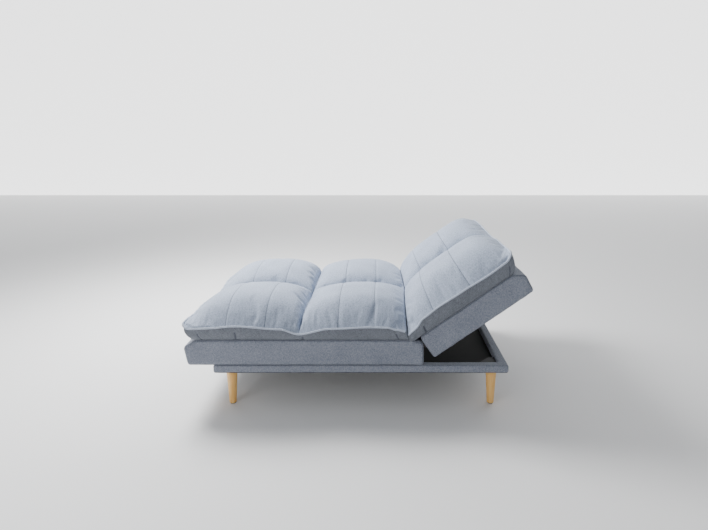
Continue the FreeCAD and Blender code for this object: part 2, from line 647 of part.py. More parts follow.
def make_back():
    """Backrest panel, lying flat."""
    start, end = BACK_FRAME
    rail = without(side_rail(BACK_FRAME, BACK_BOTTOM), *bolt_holes(BACK_BOLTS))
    parts["back_rail_right"] = rail
    parts["back_rail_left"] = mirrored(rail)
    parts["back_rail_bottom"] = notched(cross_rail(start, BACK_BOTTOM), (start, start + RAIL_THICK))
    parts["back_rail_top"] = cross_rail(end - RAIL_THICK, BACK_BOTTOM)
    bays = [(start + RAIL_THICK / 2, end - RAIL_THICK / 2)]
    parts["back_springs"] = springs(bays)
    parts["back_spring_clips"] = clips(bays)
    low = AXIS_Z + ARM_PAD[2] - SLOT_MARGIN
    slot = side_slot((BACK_GAP - 1, start + RAIL_THICK), (low, AXIS_Z + ARM_HUB_R))
    slots = (slot, mirrored(slot))
    parts["back_felt"] = without(felt(BACK_FRAME), *slots)
    parts["back_foam"] = without(foam(back_outline(), BACK_FRAME), *slots)
    parts["back_cover"] = without(cover(back_outline(), BACK_FRAME, BACK_BOTTOM), *slots)
    parts["back_rear_cloth"] = underside(BACK_FRAME, BACK_BOTTOM)


def make_pillows():
    """Pillow tops of the seat, two rows of two, and of the backrest, one row of two, with their piping."""
    out = HALF + PILLOW_SEAM_OVERHANG
    foot = PILLOW_SEAM_OVERHANG + PILLOW_FOOT_INSET
    end_foot = PILLOW_END_FOOT
    seat_end = SEAT_FRONT - SEAT_PILLOW_OVERHANG
    back_end = BACK_END + BACK_PILLOW_OVERHANG
    front = pillow((0, out), (seat_end, -SEAT_PILLOW_SPLIT), (0, foot), (end_foot, 0))
    rear = pillow((0, out), (-SEAT_PILLOW_SPLIT, 0), (0, foot), (0, 0)).cut(fold_wedge(1))
    back = pillow((0, out), (0, back_end), (0, foot), (0, end_foot), PILLOW_END_CROWN_INSET)
    back = back.cut(fold_wedge(-1))
    parts["seat_pillow_top"] = joined(front, mirrored(front), rear, mirrored(rear))
    parts["back_pillow_top"] = joined(back, mirrored(back))
    lean = math.radians(FULL_TILT / 2 + PILLOW_FOLD_CLEAR_DEG)
    start = (AXIS_BELOW_TOP + PILLOW_SEAM_HEIGHT + PIPING_R) * math.tan(lean)
    parts["seat_piping"] = piping(-start, seat_end, -1)
    parts["back_piping"] = piping(start, back_end, 1)


def make_hinges():
    """Two ratchet hinges: plates, pins, pawls and springs on the seat, arms on the backrest."""
    bosses = (INNER_PLATE[0], OUTER_PLATE[0])
    for name, layer, raised in (("outer", OUTER_PLATE, OUTER_PLATE), ("inner", INNER_PLATE, bosses)):
        plate = casing_plate(layer, raised)
        name = f"hinge_{name}_plate"
        parts[f"{name}_right"] = plate
        parts[f"{name}_left"] = mirrored(plate)
    for name, shape in (("hinge_arm", hinge_arm()), ("pawl", pawl())):
        parts[f"{name}_right"] = shape
        parts[f"{name}_left"] = mirrored(shape)
    parts["hinge_pivot_pins"] = both(pin(PIVOT_PIN_R, 0, 0))
    parts["pawl_pins"] = both(pin(PAWL_PIN_R, *pawl_point(PAWL_OUT, PAWL_LEVER)))
    parts["pawl_springs"] = both(pawl_spring())
    parts["hinge_seat_bolts"] = plate_bolts(SEAT_BOLTS, INNER_PLATE[0])
    parts["hinge_back_bolts"] = plate_bolts(BACK_BOLTS, ARM_LAYER[0])


def on_backrest(name):
    """Whether a part turns with the backrest."""
    return name.startswith(("back_", "hinge_arm", "hinge_back"))


def place():
    """Tips the backrest up, then moves the model so that the origin is below the middle of its box."""
    for name, shape in parts.items():
        if on_backrest(name):
            shape.rotate(V(0, 0, AXIS_Z), V(1, 0, 0), BACK_TILT)
    boxes = [s.optimalBoundingBox(False, False) for s in parts.values()]
    middle = (min(b.YMin for b in boxes) + max(b.YMax for b in boxes)) / 2
    for shape in parts.values():
        shape.translate(V(0, -middle, 0))
    return -middle


make_base()
make_seat()
make_back()
make_pillows()
make_hinges()
AXIS_Y = place()

os.makedirs("parts", exist_ok=True)
for part_name, part_shape in parts.items():
    part_shape.exportStep(f"parts/{part_name}.step")
print(f"{len(parts)} parts, hinge axis at y {AXIS_Y:.3f}, z {AXIS_Z:.3f}")
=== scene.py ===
"""Looks of the futon sofa bed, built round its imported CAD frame. Lengths in metres."""

import json
import math

import bmesh
import bpy
import numpy as np
from mathutils import Matrix, Vector


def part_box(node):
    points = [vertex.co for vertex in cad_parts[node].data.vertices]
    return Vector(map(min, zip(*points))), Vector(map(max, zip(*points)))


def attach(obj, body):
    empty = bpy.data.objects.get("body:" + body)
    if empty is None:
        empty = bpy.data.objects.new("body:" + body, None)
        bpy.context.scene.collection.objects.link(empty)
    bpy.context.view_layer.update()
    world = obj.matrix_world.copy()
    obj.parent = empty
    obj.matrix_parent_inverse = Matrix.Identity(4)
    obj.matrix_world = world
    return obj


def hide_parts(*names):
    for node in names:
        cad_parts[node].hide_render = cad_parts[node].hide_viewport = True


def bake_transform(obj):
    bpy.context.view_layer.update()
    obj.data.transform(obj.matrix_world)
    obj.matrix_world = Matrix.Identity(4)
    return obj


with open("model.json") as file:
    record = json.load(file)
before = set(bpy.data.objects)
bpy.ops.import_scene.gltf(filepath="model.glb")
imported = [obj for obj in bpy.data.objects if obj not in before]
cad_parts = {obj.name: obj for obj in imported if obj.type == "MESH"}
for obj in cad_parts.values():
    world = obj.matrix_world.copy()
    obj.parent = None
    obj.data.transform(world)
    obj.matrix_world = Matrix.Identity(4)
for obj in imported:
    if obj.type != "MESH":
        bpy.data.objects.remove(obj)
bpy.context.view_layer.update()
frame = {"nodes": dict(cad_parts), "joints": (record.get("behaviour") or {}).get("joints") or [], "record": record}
bpy.ops.object.select_all(action="DESELECT")
nodes = frame["nodes"]

# ---------------------------------------------------------------- woven upholstery cloth
# One heathered plain weave in mixed blue-grey yarns covers the base, both panels and the pillow tops.
# The pillow tops take it in a paler shade than the panels, and their piping paler still, as painted highlight
# along the round cord.


def group_socket(group, name, kind, side="INPUT", value=None):
    made = group.interface.new_socket(name=name, in_out=side, socket_type=f"NodeSocket{kind}")
    if value is not None:
        made.default_value = value
    return made


def group_math(group, operation, *values):
    node = group.nodes.new("ShaderNodeMath")
    node.operation = operation
    for socket, value in zip(node.inputs, values):
        if isinstance(value, (int, float)):
            socket.default_value = value
        else:
            group.links.new(value, socket)
    return node.outputs[0]


def group_noise(group, vector, scale, detail):
    node = group.nodes.new("ShaderNodeTexNoise")
    node.inputs["Scale"].default_value = scale
    node.inputs["Detail"].default_value = detail
    group.links.new(vector, node.inputs["Vector"])
    return node.outputs["Fac"]


weave = bpy.data.node_groups.new("heathered weave", "ShaderNodeTree")
group_socket(weave, "Vector", "Vector")
group_socket(weave, "Pale yarn", "Color", value=(0.6, 0.6, 0.6, 1))
group_socket(weave, "Dark yarn", "Color", value=(0.3, 0.3, 0.3, 1))
group_socket(weave, "Yarn pitch", "Float", value=0.0018)
group_socket(weave, "Heather", "Float", value=1.0)
group_socket(weave, "Color", "Color", "OUTPUT")
group_socket(weave, "Roughness", "Float", "OUTPUT")
group_socket(weave, "Height", "Float", "OUTPUT")
weave_in = weave.nodes.new("NodeGroupInput").outputs
weave_out = weave.nodes.new("NodeGroupOutput").inputs
split = weave.nodes.new("ShaderNodeSeparateXYZ")
weave.links.new(weave_in["Vector"], split.inputs[0])
turns = group_math(weave, "DIVIDE", 2 * math.pi, weave_in["Yarn pitch"])
waves = [group_math(weave, "SINE", group_math(weave, "MULTIPLY", axis, turns)) for axis in split.outputs]
crossings = [group_math(weave, "MULTIPLY", waves[a], waves[b]) for a, b in ((0, 1), (1, 2), (2, 0))]
threads = group_math(weave, "ADD", group_math(weave, "ADD", *crossings[:2]), crossings[2])
fleck = group_noise(weave, weave_in["Vector"], 520.0, 2.0)
slub = group_noise(weave, weave_in["Vector"], 130.0, 3.0)
cloud = group_noise(weave, weave_in["Vector"], 9.0, 3.0)
mix = 0.5
for source, share in ((fleck, 1.5), (slub, 0.95), (cloud, 0.35)):
    spread = group_math(weave, "MULTIPLY", group_math(weave, "SUBTRACT", source, 0.5), share)
    mix = group_math(weave, "ADD", group_math(weave, "MULTIPLY", spread, weave_in["Heather"]), mix)
mix = group_math(weave, "ADD", mix, group_math(weave, "MULTIPLY", threads, 0.16))
yarns = weave.nodes.new("ShaderNodeMix")
yarns.data_type = "RGBA"
yarns.clamp_factor = True
weave.links.new(mix, yarns.inputs["Factor"])
weave.links.new(weave_in["Dark yarn"], yarns.inputs["A"])
weave.links.new(weave_in["Pale yarn"], yarns.inputs["B"])
weave.links.new(yarns.outputs["Result"], weave_out["Color"])
roughness = group_math(weave, "ADD", group_math(weave, "MULTIPLY", slub, 0.12), 0.82)
weave.links.new(roughness, weave_out["Roughness"])
height = group_math(weave, "ADD", group_math(weave, "MULTIPLY", threads, 0.5), fleck)
weave.links.new(height, weave_out["Height"])

# Stitched seam: thread showing along a sewn line, and painted shade darkening the cloth in the seam's groove.
# Across is the distance from the seam.
seam = bpy.data.node_groups.new("stitched seam, painted shade", "ShaderNodeTree")
group_socket(seam, "Color", "Color")
group_socket(seam, "Across", "Float")
group_socket(seam, "Along", "Float")
group_socket(seam, "Fold width", "Float", value=0.003)
group_socket(seam, "Stitch length", "Float", value=0.006)
group_socket(seam, "Depth", "Float", value=0.5)
group_socket(seam, "Color", "Color", "OUTPUT")
group_socket(seam, "Height", "Float", "OUTPUT")
seam_in = seam.nodes.new("NodeGroupInput").outputs
seam_out = seam.nodes.new("NodeGroupOutput").inputs
off_line = group_math(seam, "DIVIDE", group_math(seam, "ABSOLUTE", seam_in["Across"]), seam_in["Fold width"])
on_fold = group_math(seam, "SUBTRACT", 1.0, group_math(seam, "SMOOTH_MIN", off_line, 1.0, 0.2))
on_fold = group_math(seam, "MAXIMUM", on_fold, 0.0)
cycle = group_math(seam, "FRACT", group_math(seam, "DIVIDE", seam_in["Along"], seam_in["Stitch length"]))
in_stitch = group_math(seam, "LESS_THAN", cycle, 0.72)
near_line = group_math(seam, "LESS_THAN", off_line, 0.3)
stitch = group_math(seam, "MULTIPLY", in_stitch, near_line)
# painted shade: the cloth is darkened towards this colour along the seam's groove
fold_shade = seam.nodes.new("ShaderNodeMix")
fold_shade.data_type = "RGBA"
seam.links.new(group_math(seam, "MULTIPLY", on_fold, seam_in["Depth"]), fold_shade.inputs["Factor"])
seam.links.new(seam_in["Color"], fold_shade.inputs["A"])
fold_shade.inputs["B"].default_value = (0.07, 0.08, 0.11, 1)
seam.links.new(fold_shade.outputs["Result"], seam_out["Color"])
thread_height = group_math(seam, "MULTIPLY", stitch, 0.6)
seam.links.new(group_math(seam, "SUBTRACT", thread_height, on_fold), seam_out["Height"])


def upholstery(name, pale, dark, mapped=False, seam_shade=0.0, pitch=0.0018, fold=0.003):
    """Heathered cloth. mapped follows the piece's own map, and a seam shade above 0 adds its sewn lines, with that
    much painted shade along their grooves.
    """
    material = bpy.data.materials.new(name)
    material.use_nodes = True
    tree = material.node_tree
    shader = tree.nodes["Principled BSDF"]
    place = tree.nodes.new("ShaderNodeTexCoord").outputs["UV" if mapped else "Object"]
    cloth = tree.nodes.new("ShaderNodeGroup")
    cloth.node_tree = weave
    cloth.inputs["Pale yarn"].default_value = (*pale, 1)
    cloth.inputs["Dark yarn"].default_value = (*dark, 1)
    cloth.inputs["Yarn pitch"].default_value = pitch
    tree.links.new(place, cloth.inputs["Vector"])
    color = cloth.outputs["Color"]
    bump = tree.nodes.new("ShaderNodeBump")
    bump.inputs["Strength"].default_value = 0.45
    bump.inputs["Distance"].default_value = 0.0006
    tree.links.new(cloth.outputs["Height"], bump.inputs["Height"])
    normal = bump.outputs["Normal"]
    if seam_shade:
        sewn = tree.nodes.new("ShaderNodeGroup")
        sewn.node_tree = seam
        sewn.inputs["Depth"].default_value = seam_shade
        sewn.inputs["Fold width"].default_value = fold
        lines = tree.nodes.new("ShaderNodeAttribute")
        lines.attribute_name = "seam"
        parts = tree.nodes.new("ShaderNodeSeparateXYZ")
        tree.links.new(lines.outputs["Vector"], parts.inputs[0])
        tree.links.new(parts.outputs["X"], sewn.inputs["Across"])
        tree.links.new(parts.outputs["Y"], sewn.inputs["Along"])
        tree.links.new(color, sewn.inputs["Color"])
        color = sewn.outputs["Color"]
        sunk = tree.nodes.new("ShaderNodeBump")
        sunk.inputs["Strength"].default_value = 0.8
        sunk.inputs["Distance"].default_value = 0.0015
        tree.links.new(sewn.outputs["Height"], sunk.inputs["Height"])
        tree.links.new(normal, sunk.inputs["Normal"])
        normal = sunk.outputs["Normal"]
    tree.links.new(color, shader.inputs["Base Color"])
    tree.links.new(cloth.outputs["Roughness"], shader.inputs["Roughness"])
    tree.links.new(normal, shader.inputs["Normal"])
    shader.inputs["Sheen Weight"].default_value = 0.22
    shader.inputs["Sheen Roughness"].default_value = 0.45
    shader.inputs["Sheen Tint"].default_value = (0.86, 0.92, 1.0, 1)
    shader.inputs["Specular IOR Level"].default_value = 0.25
    return material


# The sewn seams on the panels and pillows are darkened along their grooves with painted shade.
panel_cloth = upholstery("panel cloth", (0.37, 0.395, 0.465), (0.105, 0.118, 0.155), seam_shade=0.55)
base_cloth = upholstery("base cloth", (0.37, 0.395, 0.465), (0.105, 0.118, 0.155))
pillow_cloth = upholstery(
    "pillow cloth", (0.55, 0.625, 0.765), (0.155, 0.19, 0.265), mapped=True, seam_shade=0.75
)
# The band round each pillow is the pillow cloth made darker: painted shade on its inward, downward-facing slope,
# with wider painted shade in its folds.
shaded_band_cloth = upholstery(
    "band cloth, painted shade", (0.26, 0.28, 0.32), (0.08, 0.087, 0.105), mapped=True, seam_shade=1.0, fold=0.007
)
# The piping is the pillow cloth made paler: painted highlight along the round cord.
highlit_piping_cloth = upholstery("piping cloth, painted highlight", (0.62, 0.68, 0.78), (0.36, 0.41, 0.52), pitch=0.0012)

# ---------------------------------------------------------------- base frame covers
# Cloth on thin wadding, wrapped round the base's four wooden rails and folded over at the corners.
# It is pulled tight and stapled underneath, so it is only slightly uneven.

REST_AXIS = Vector(frame["joints"][0]["pos_m"])
BED_TILT = math.radians(-frame["joints"][0]["range_deg"][0])
BASE_WALL = 0.046
EDGE_FOLD = 0.006
BASE_SLACK = 0.0016
BASE_MESH = 0.005

slack = bpy.data.textures.new("slack cloth", "CLOUDS")
slack.noise_scale = 0.11
slack.noise_depth = 2


def only(obj):
    """Selects one object and makes it active."""
    bpy.ops.object.select_all(action="DESELECT")
    obj.select_set(True)
    bpy.context.view_layer.objects.active = obj
    return obj


def apply_modifiers(obj):
    only(obj)
    for modifier in list(obj.modifiers):
        bpy.ops.object.modifier_apply(modifier=modifier.name)


def uneven(obj, amount):
    """Cloth that isn't pulled perfectly flat."""
    waves = obj.modifiers.new("uneven", "DISPLACE")
    waves.texture = slack
    waves.texture_coords = "LOCAL"
    waves.strength = amount
    waves.mid_level = 0.5


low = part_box("base_cover_left")[0].copy()
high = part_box("base_cover_right")[1].copy()
low.y, high.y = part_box("base_cover_front")[0].y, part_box("base_cover_rear")[1].y
bpy.ops.mesh.primitive_plane_add(size=1, location=(0, (low.y + high.y) / 2, low.z))
base = bpy.context.object
base.name = "base_cloth"
base.scale = (high.x - low.x, high.y - low.y, 1)
bpy.ops.object.transform_apply(location=True, rotation=False, scale=True)
bpy.ops.object.mode_set(mode="EDIT")
bpy.ops.mesh.select_all(action="SELECT")
bpy.ops.mesh.inset(thickness=BASE_WALL)
bpy.ops.mesh.delete(type="FACE")
bpy.ops.mesh.select_all(action="SELECT")
bpy.ops.mesh.extrude_region_move(TRANSFORM_OT_translate={"value": (0, 0, high.z - low.z)})
bpy.ops.mesh.select_all(action="SELECT")
bpy.ops.mesh.normals_make_consistent(inside=False)
bpy.ops.object.mode_set(mode="OBJECT")
rounded = base.modifiers.new("rounded", "BEVEL")
rounded.width = EDGE_FOLD
rounded.segments = 4
even = base.modifiers.new("even", "REMESH")
even.mode = "VOXEL"
even.voxel_size = BASE_MESH
uneven(base, BASE_SLACK)
apply_modifiers(base)
bpy.ops.object.shade_smooth()
base.data.materials.append(base_cloth)
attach(base, "base")
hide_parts("base_cover_left", "base_cover_right", "base_cover_front", "base_cover_rear")

# ---------------------------------------------------------------- upholstered panels
# The seat and backrest panels: foam over a sprung wooden frame, covered in the darker shade of cloth.
# The sides are separate cloths sewn to the top along the outline, and the cloth puffs a little.

EDGE_ROUNDING = 0.012
END_PUFF = 0.006
SEAT_LEAN = 0.016
SEAT_CHAMFER = (0.062, 0.039)
BACK_LEAN = 0.005
BACK_CHAMFER = (0.051, 0.044)
BACK_GAP = 0.033
BACK_LENGTH = 0.627
BED_CLEAR = 0.0015
NOSE_STEPS = 6
LINING_RIM = 0.024
LINING_DEPTH = 0.004
PANEL_MESH = 0.0075
PANEL_SLACK = 0.006
SEAM_HALF_WIDTH = 0.004
SEAM_SUNK = 0.0012
NOSE_SWEEP = math.radians(105)
BACK_NOSE = ((0, -0.019), (0.006, -0.006), (0.019, 0))

seat_low, seat_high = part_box("seat_cover")
half_width = seat_high.x
panel_top, panel_low = seat_high.z, seat_low.z
nose = seat_high.y - REST_AXIS.y


def flat_point(along, height):
    """Place with the bed flat: distance from the hinge axis, and height over the panel's top."""
    return (REST_AXIS.y + along, panel_top + height)


def tipped(obj):
    """Tips a piece made flat up about the hinge axis, to the backrest's stored tilt."""
    turn = Matrix.Translation(REST_AXIS) @ Matrix.Rotation(BED_TILT, 4, "X") @ Matrix.Translation(-REST_AXIS)
    obj.data.transform(turn)


def upholstered_panel(name, outline):
    """Closed block with this side outline, rounded edges and a slightly puffed cloth."""
    mesh = bpy.data.meshes.new(name)
    obj = bpy.data.objects.new(name, mesh)
    bpy.context.collection.objects.link(obj)
    bm = bmesh.new()
    ends = [[bm.verts.new((x, y, z)) for y, z in outline] for x in (-half_width, half_width)]
    for ring in ends:
        bm.faces.new(ring)
    count = len(outline)
    for k in range(count):
        after = (k + 1) % count
        bm.faces.new((ends[0][k], ends[0][after], ends[1][after], ends[1][k]))
    bmesh.ops.recalc_face_normals(bm, faces=bm.faces)
    edges = [e for e in bm.edges if e.calc_face_angle() > math.radians(25)]
    bmesh.ops.bevel(bm, geom=edges, offset=EDGE_ROUNDING, segments=4, profile=0.5, affect="EDGES")
    bm.to_mesh(mesh)
    bm.free()
    even = obj.modifiers.new("even", "REMESH")
    even.mode = "VOXEL"
    even.voxel_size = PANEL_MESH
    uneven(obj, PANEL_SLACK)
    apply_modifiers(obj)
    co = np.empty(len(mesh.vertices) * 3)
    mesh.vertices.foreach_get("co", co)
    co = co.reshape(-1, 3)
    normal = np.empty(len(mesh.vertices) * 3)
    mesh.vertices.foreach_get("normal", normal)
    normal = normal.reshape(-1, 3)
    across = np.abs(co[:, 0]) - (half_width - EDGE_ROUNDING * 0.35)
    under = normal[:, 2] < -0.9
    ends = co[under, 1].min() + LINING_RIM, co[under, 1].max() - LINING_RIM
    let_in = (np.abs(co[:, 0]) < half_width - LINING_RIM) & (co[:, 1] > ends[0]) & (co[:, 1] < ends[1])
    bottom = min(z for y, z in outline)
    co[under, 2] = bottom
    co[under & let_in, 2] = bottom + LINING_DEPTH
    rim = np.abs(normal[:, 0])
    across = np.where(rim > 0.93, EDGE_ROUNDING, across)
    sunk = np.exp(-((across / SEAM_HALF_WIDTH) ** 2))
    co -= normal * (sunk * SEAM_SUNK)[:, None]
    mesh.vertices.foreach_set("co", co.ravel())
    lines = np.zeros((len(co), 3), np.float32)
    lines[:, 0] = across
    lines[:, 1] = co[:, 1] + co[:, 2]
    mesh.attributes.new("seam", "FLOAT_VECTOR", "POINT").data.foreach_set("vector", lines.ravel())
    only(obj)
    bpy.ops.object.shade_smooth()
    mesh.materials.append(panel_cloth)
    return obj


foot_end = seat_low.y
run, rise = SEAT_CHAMFER
seat_outline = [
    (seat_high.y, panel_low),
    (foot_end + SEAT_LEAN, panel_low),
    (foot_end - END_PUFF, panel_top - rise),
    (foot_end + run, panel_top),
    flat_point(-0.028, 0),
]
for step in range(NOSE_STEPS + 1):
    angle = NOSE_SWEEP * (1 - step / NOSE_STEPS)
    seat_outline.append((REST_AXIS.y + nose * math.cos(angle), REST_AXIS.z + nose * math.sin(angle)))
seat_panel = upholstered_panel("seat_panel", seat_outline)
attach(seat_panel, "base")
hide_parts("seat_cover", "seat_foam")

run, rise = BACK_CHAMFER
far = BACK_GAP + BACK_LENGTH
thick = panel_top - panel_low - BED_CLEAR
back_outline = [
    flat_point(BACK_GAP, -thick),
    *(flat_point(BACK_GAP + in_from_end, height) for in_from_end, height in BACK_NOSE),
    flat_point(far + BACK_LEAN - run, 0),
    flat_point(far + BACK_LEAN + END_PUFF, -rise),
    flat_point(far, -thick),
]
back_panel = upholstered_panel("backrest_panel", back_outline)
tipped(back_panel)
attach(back_panel, "backrest")
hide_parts("back_cover", "back_foam")

# ---------------------------------------------------------------- pillow tops
# Sewn cases filled with fibre: two rows of two pillows on the seat and one row of two on the backrest.
# Each pillow swells between its piped edge and the seams it shares, with two stitched lines across it.

SEAM_OVERHANG = 0.008
BAND_INSET = 0.010
END_BAND_LEAN = 0.050
GROOVE = 0.003
GROOVE_DEPTH = 0.040
CROWN = 0.186
CREST_SHARE = 0.51
OUTER_BLUNTNESS = 3.3
PRESS_ROUNDNESS = 0.72
FLAT_SEAM = 0.048
MIDDLE_PRESS = 0.42
FOLD_PRESS = 0.66
ACROSS_COUNT = 54
ALONG_COUNT = 60
BAND_LEVELS = 5
CORNER_ROUNDING = 0.030
FOLD_REACH = 0.30
FOLD_GAP = 0.0012
FOLD_SIDE_SHIFT = 0.036
FOLD_SIDE_ROUNDING = 0.7
FAR_CORNER_DROP = 0.040
BAND_BULGE = 0.007
BAND_WIDTH_STEP = 0.013
END_SCALLOP = 0.004
SCALLOP_PER_METRE = (61.0, 37.0)
SCALLOP_OFFSET = 0.7
CORNER_SINK_LENGTH = 0.12
END_LEAN_LENGTH = 0.16
GATHER = 0.0022
GATHER_PER_METRE = 210.0
GATHER_IN = 0.075
GATHER_AT_FOLD = 0.04
END_GATHER_SPREAD = 0.16
SEAM_GATHER_SPREAD = 0.10
FULLNESS = 0.035
MOST_SWELL = 0.020
STITCH_SUNK = 0.0035
PIPING_RADIUS = 0.0050
fold_lean = math.tan(BED_TILT / 2)
axis_depth = panel_top - REST_AXIS.z
pillow_half = half_width + SEAM_OVERHANG


def eased(value, points):
    """Smooth curve through a few (place, height) pairs."""
    places, heights = (np.array(column) for column in zip(*points))
    value = np.asarray(value, float)
    k = np.clip(np.searchsorted(places, value) - 1, 0, len(places) - 2)
    t = np.clip((value - places[k]) / (places[k + 1] - places[k]), 0, 1)
    return heights[k] + (heights[k + 1] - heights[k]) * t * t * (3 - 2 * t)


def stations(ends, count, marks=()):
    """Places from one seam to the next, closer together beside the seams, with one on each stitched line."""
    t = np.linspace(0, 1, count + 1)
    t = 0.45 * t + 0.55 * (1 - np.cos(np.pi * t)) / 2
    made = ends[0] + (ends[1] - ends[0]) * t
    for mark in marks:
        made[np.argmin(np.abs(made - mark))] = mark
    return made


def open_edge(t, bluntness):
    """Rise of a pillow from its piped edge, t = 0, to its crest, t = 1."""
    return 1 - (1 - np.clip(t, 0, 1)) ** bluntness


def pressed_edge(t, share):
    """Rise from the place where it is pressed on the next pillow, at this share of the crest."""
    return 1 - (1 - share) * (1 - (1 - (1 - np.clip(t, 0, 1)) ** 2) ** PRESS_ROUNDNESS)


def across_rise(x):
    """Section of the pillows from side to side."""
    crest = CREST_SHARE * pillow_half
    inner = pressed_edge((np.abs(x) - GROOVE) / (crest - GROOVE), MIDDLE_PRESS)
    outer = open_edge((pillow_half - np.abs(x)) / (pillow_half - crest), OUTER_BLUNTNESS)
    return np.where(np.abs(x) < crest, inner, outer)


def swollen(obj, sewn, fullness, cap):
    """Swells the case under pressure with its seams held. No point moves further than cap."""
    mesh = obj.data
    start = np.empty(len(mesh.vertices) * 3)
    mesh.vertices.foreach_get("co", start)
    start = start.reshape(-1, 3)
    held = obj.vertex_groups.new(name="sewn")
    held.add([int(k) for k in sewn], 1.0, "REPLACE")
    cloth = obj.modifiers.new("cloth", "CLOTH")
    settings = cloth.settings
    settings.quality = 5
    settings.mass = 0.25
    settings.tension_stiffness = settings.compression_stiffness = 18
    settings.shear_stiffness = 6
    settings.bending_stiffness = 0.3
    settings.use_pressure = True
    settings.uniform_pressure_force = 3.0
    settings.vertex_group_mass = "sewn"
    settings.shrink_min = -fullness
    settings.effector_weights.gravity = 0
    scene = bpy.context.scene
    for step in range(1, 23):
        scene.frame_set(step)
    graph = bpy.context.evaluated_depsgraph_get()
    result = obj.evaluated_get(graph).to_mesh()
    end = np.empty(len(result.vertices) * 3)
    result.vertices.foreach_get("co", end)
    obj.evaluated_get(graph).to_mesh_clear()
    obj.modifiers.remove(cloth)
    move = end.reshape(-1, 3) - start
    length = np.maximum(np.linalg.norm(move, axis=1), 1e-9)
    move *= (cap * np.tanh(length / cap) / length)[:, None]
    mesh.vertices.foreach_set("co", (start + move).ravel())
    mesh.update()
    obj.vertex_groups.remove(held)
    scene.frame_set(1)


